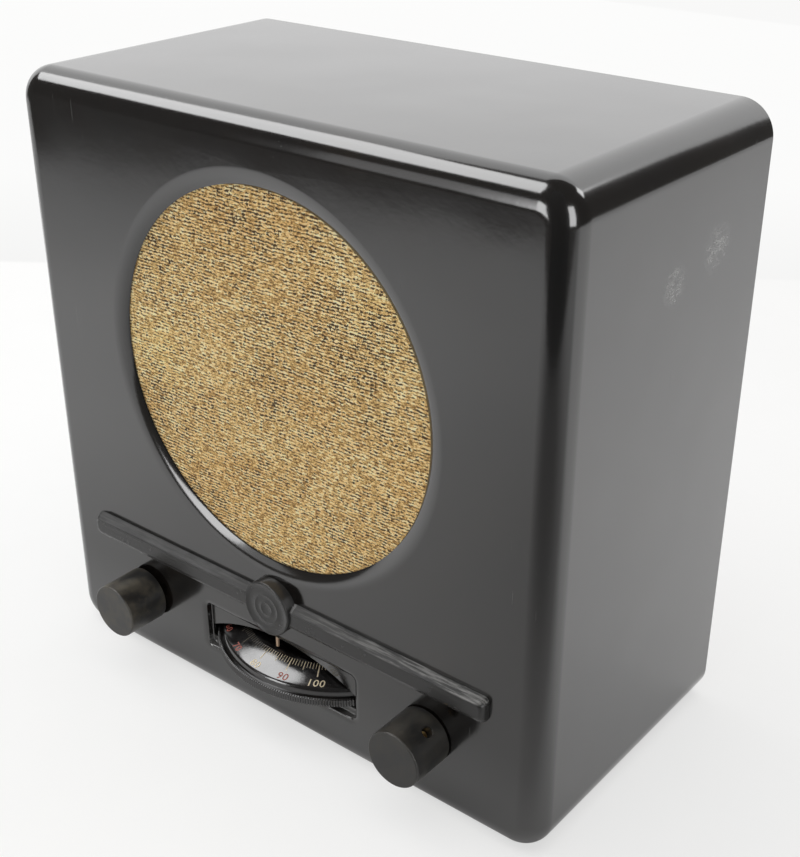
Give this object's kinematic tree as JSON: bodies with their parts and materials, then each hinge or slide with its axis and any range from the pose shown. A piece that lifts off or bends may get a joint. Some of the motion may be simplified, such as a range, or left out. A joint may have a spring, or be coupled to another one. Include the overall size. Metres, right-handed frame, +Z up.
{
  "type": "table radio",
  "caption": "Small square bakelite table radio with a round cloth-covered speaker, a raised bar, a dial wheel behind an arched slot and plain round knobs.",
  "frame": {"origin": "middle of the case's underside, on the surface it stands on", "axes": "+Z up, the front with the speaker and dial faces -Y, +X to the right of someone facing the front"},
  "size_m": [0.24, 0.141, 0.2396],
  "materials": {
    "black_bakelite": "polished moulded bakelite",
    "knob_bakelite": "worn turned bakelite",
    "dial_bakelite": "polished moulded bakelite",
    "cream_paint": "cream paint",
    "woven_cloth": "coarse woven speaker cloth",
    "fibre_board": "pressed fibre board",
    "hard_paper": "resin bonded paper",
    "cone_paper": "felted paper",
    "waxed_paper": "waxed paper",
    "painted_steel": "dull grey paint",
    "plated_steel": "plated steel",
    "magnet_iron": "dull red paint over iron",
    "brass": "turned brass",
    "aluminium": "bare sheet",
    "copper_wire": "enamelled copper wire",
    "green_silk_wire": "silk covered wire",
    "ceramic": "unglazed ceramic",
    "resistance_wire": "oxidised resistance wire",
    "valve_glass": "silvered glass",
    "black_rubber": "black rubber",
    "resistor_lacquer": "brown red lacquer"
  },
  "bodies": {
    "cabinet": {"aerial_socket": "brass", "armature": "plated_steel", "back_cover": "fibre_board", "baffle_board": "hard_paper", "baffle_screw_1": "plated_steel", "baffle_screw_2": "plated_steel", "baffle_screw_3": "plated_steel", "baffle_screw_4": "plated_steel", "case": "black_bakelite", "chassis": "painted_steel", "chassis_screw_1": "plated_steel", "chassis_screw_2": "plated_steel", "coil_former": "hard_paper", "cord_bush": "black_rubber", "cover_screw_1": "plated_steel", "cover_screw_2": "plated_steel", "cover_screw_3": "plated_steel", "cover_screw_4": "plated_steel", "dial_index": "cream_paint", "dropper_bracket_left": "plated_steel", "dropper_bracket_right": "plated_steel", "dropper_tube": "ceramic", "dropper_winding": "resistance_wire", "earth_socket": "brass", "mains_switch": "hard_paper", "output_valve_base": "black_bakelite", "output_valve_bulb": "valve_glass", "output_valve_socket": "hard_paper", "paper_capacitor": "waxed_paper", "reaction_capacitor": "hard_paper", "rectifier_valve_base": "black_bakelite", "rectifier_valve_bulb": "valve_glass", "rectifier_valve_socket": "hard_paper", "resistor": "resistor_lacquer", "smoothing_capacitor": "waxed_paper", "socket_strip": "hard_paper", "speaker_basket": "painted_steel", "speaker_cloth": "woven_cloth", "speaker_coil": "copper_wire", "speaker_cone": "cone_paper", "speaker_magnet": "magnet_iron", "speaker_screw_1": "plated_steel", "speaker_screw_2": "plated_steel", "tag_board": "hard_paper", "tuning_frame": "aluminium", "tuning_stator": "aluminium", "tuning_winding": "copper_wire", "yoke_plate": "plated_steel"},
    "dial": {"dial_wheel": "dial_bakelite", "dial_screw": "brass", "tuning_spindle": "plated_steel", "tuning_rotor": "aluminium"},
    "reaction_control": {"reaction_knob": "knob_bakelite", "reaction_knob_screw": "brass", "reaction_shaft": "plated_steel", "reaction_vane": "brass"},
    "coupling_control": {"coupling_knob": "knob_bakelite", "coupling_knob_screw": "brass", "coupling_shaft": "plated_steel", "coupling_coil": "green_silk_wire"}
  },
  "joints": [
    {"name": "dial_turn", "type": "hinge", "parent": "cabinet", "child": "dial", "pos_m": [0, -0.0237, 0.03], "axis": [0, 0, 1], "range_deg": [-29, 143]},
    {"name": "reaction_turn", "type": "hinge", "parent": "cabinet", "child": "reaction_control", "pos_m": [-0.0715, -0.0607, 0.0328], "axis": [0, 1, 0], "range_deg": [-90, 90]},
    {"name": "coupling_turn", "type": "hinge", "parent": "cabinet", "child": "coupling_control", "pos_m": [0.0715, -0.0607, 0.0328], "axis": [0, 1, 0], "range_deg": [0, 90]}
  ]
}
